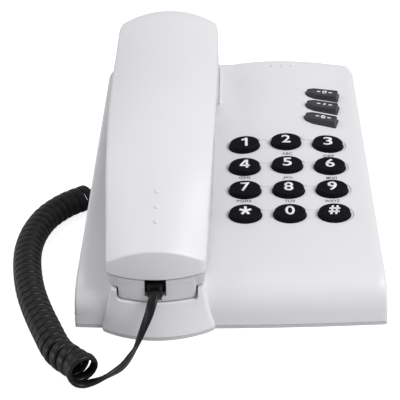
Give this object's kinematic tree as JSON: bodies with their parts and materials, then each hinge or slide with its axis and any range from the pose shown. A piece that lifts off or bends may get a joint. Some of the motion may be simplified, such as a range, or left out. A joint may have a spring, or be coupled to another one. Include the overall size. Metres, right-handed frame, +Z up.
{
  "type": "corded telephone",
  "caption": "Corded desk telephone: wedge base with raised oval keys, a crowned handset in a moulded cradle and a curly cord.",
  "frame": {"origin": "on the table, under the middle of the telephone without its curly cord", "axes": "+X to the right as the user faces the keypad, +Y to the rear, +Z up"},
  "size_m": [0.2003, 0.2433, 0.0984],
  "materials": {
    "shell_grey": "satin moulded",
    "key_black": "matte moulded",
    "fin_grey": "matte moulded",
    "jack_black": "gloss",
    "cord_black": "gloss",
    "soft_rubber": "matte",
    "mat_rubber": "matte",
    "steel": "plain zinc",
    "board_green": "solder mask",
    "part_dark": "moulded",
    "sounder_brass": "plain",
    "capsule_metal": "plain"
  },
  "bodies": {
    "base": {"top_cover": "shell_grey", "bottom_cover": "shell_grey", "rubber_feet": "soft_rubber", "base_screws": "steel", "ballast_plate": "steel", "main_board": "board_green", "board_screws": "steel", "board_parts": "part_dark", "keypad_mat": "mat_rubber", "hook_spring": "steel", "hook_switch": "part_dark", "hook_board": "board_green", "hook_board_screws": "steel", "buzzer": "sounder_brass", "line_jack": "jack_black", "base_cord_jack": "jack_black", "hanger_tab": "shell_grey", "ringer_switch": "part_dark", "base_plug": "jack_black", "cord_lead": "cord_black", "cord_coil": "cord_black", "cord_tail": "cord_black"},
    "handset": {"handset_back": "shell_grey", "handset_front": "shell_grey", "handset_screws": "steel", "earpiece_speaker": "capsule_metal", "ear_gasket": "soft_rubber", "microphone": "capsule_metal", "mic_boot": "soft_rubber", "handset_jack": "jack_black", "handset_weight": "steel", "handset_plug": "jack_black"},
    "hook": {"hook_plunger": "fin_grey"},
    "ringer_control": {"ringer_knob": "fin_grey"},
    "key_1_body": {"key_1": "key_black"},
    "key_2_body": {"key_2": "key_black"},
    "key_3_body": {"key_3": "key_black"},
    "key_4_body": {"key_4": "key_black"},
    "key_5_body": {"key_5": "key_black"},
    "key_6_body": {"key_6": "key_black"},
    "key_7_body": {"key_7": "key_black"},
    "key_8_body": {"key_8": "key_black"},
    "key_9_body": {"key_9": "key_black"},
    "key_star_body": {"key_star": "key_black"},
    "key_0_body": {"key_0": "key_black"},
    "key_hash_body": {"key_hash": "key_black"},
    "key_redial_body": {"key_redial": "fin_grey"},
    "key_flash_body": {"key_flash": "fin_grey"},
    "key_mute_body": {"key_mute": "fin_grey"}
  },
  "joints": [
    {"name": "handset_lift", "type": "slide", "parent": "base", "child": "handset", "axis": [0, 0, 1], "range_m": [0, 0.04]},
    {"name": "hook_rise", "type": "slide", "parent": "base", "child": "hook", "axis": [0, -0.2147, 0.9767], "range_m": [0, 0.004], "deforming": ["hook_spring"]},
    {"name": "ringer_set", "type": "slide", "parent": "base", "child": "ringer_control", "axis": [0, 1, 0], "range_m": [-0.002, 0.002]},
    {"name": "key_1_press", "type": "slide", "parent": "base", "child": "key_1_body", "axis": [0, 0.2147, -0.9767], "range_m": [0, 0.0016], "stiffness_N_per_m": 350, "springref_m": -0.0006},
    {"name": "key_2_press", "type": "slide", "parent": "base", "child": "key_2_body", "axis": [0, 0.2147, -0.9767], "range_m": [0, 0.0016], "stiffness_N_per_m": 350, "springref_m": -0.0006},
    {"name": "key_3_press", "type": "slide", "parent": "base", "child": "key_3_body", "axis": [0, 0.2147, -0.9767], "range_m": [0, 0.0016], "stiffness_N_per_m": 350, "springref_m": -0.0006},
    {"name": "key_4_press", "type": "slide", "parent": "base", "child": "key_4_body", "axis": [0, 0.2147, -0.9767], "range_m": [0, 0.0016], "stiffness_N_per_m": 350, "springref_m": -0.0006},
    {"name": "key_5_press", "type": "slide", "parent": "base", "child": "key_5_body", "axis": [0, 0.2147, -0.9767], "range_m": [0, 0.0016], "stiffness_N_per_m": 350, "springref_m": -0.0006},
    {"name": "key_6_press", "type": "slide", "parent": "base", "child": "key_6_body", "axis": [0, 0.2147, -0.9767], "range_m": [0, 0.0016], "stiffness_N_per_m": 350, "springref_m": -0.0006},
    {"name": "key_7_press", "type": "slide", "parent": "base", "child": "key_7_body", "axis": [0, 0.2147, -0.9767], "range_m": [0, 0.0016], "stiffness_N_per_m": 350, "springref_m": -0.0006},
    {"name": "key_8_press", "type": "slide", "parent": "base", "child": "key_8_body", "axis": [0, 0.2147, -0.9767], "range_m": [0, 0.0016], "stiffness_N_per_m": 350, "springref_m": -0.0006},
    {"name": "key_9_press", "type": "slide", "parent": "base", "child": "key_9_body", "axis": [0, 0.2147, -0.9767], "range_m": [0, 0.0016], "stiffness_N_per_m": 350, "springref_m": -0.0006},
    {"name": "key_star_press", "type": "slide", "parent": "base", "child": "key_star_body", "axis": [0, 0.2147, -0.9767], "range_m": [0, 0.0016], "stiffness_N_per_m": 350, "springref_m": -0.0006},
    {"name": "key_0_press", "type": "slide", "parent": "base", "child": "key_0_body", "axis": [0, 0.2147, -0.9767], "range_m": [0, 0.0016], "stiffness_N_per_m": 350, "springref_m": -0.0006},
    {"name": "key_hash_press", "type": "slide", "parent": "base", "child": "key_hash_body", "axis": [0, 0.2147, -0.9767], "range_m": [0, 0.0016], "stiffness_N_per_m": 350, "springref_m": -0.0006},
    {"name": "key_redial_press", "type": "slide", "parent": "base", "child": "key_redial_body", "axis": [0, 0.2147, -0.9767], "range_m": [0, 0.0016], "stiffness_N_per_m": 350, "springref_m": -0.0006},
    {"name": "key_flash_press", "type": "slide", "parent": "base", "child": "key_flash_body", "axis": [0, 0.2147, -0.9767], "range_m": [0, 0.0016], "stiffness_N_per_m": 350, "springref_m": -0.0006},
    {"name": "key_mute_press", "type": "slide", "parent": "base", "child": "key_mute_body", "axis": [0, 0.2147, -0.9767], "range_m": [0, 0.0016], "stiffness_N_per_m": 350, "springref_m": -0.0006}
  ],
  "couplings": [
    {"joint": "hook_rise", "follows": "handset_lift", "ratio": 0.1}
  ]
}
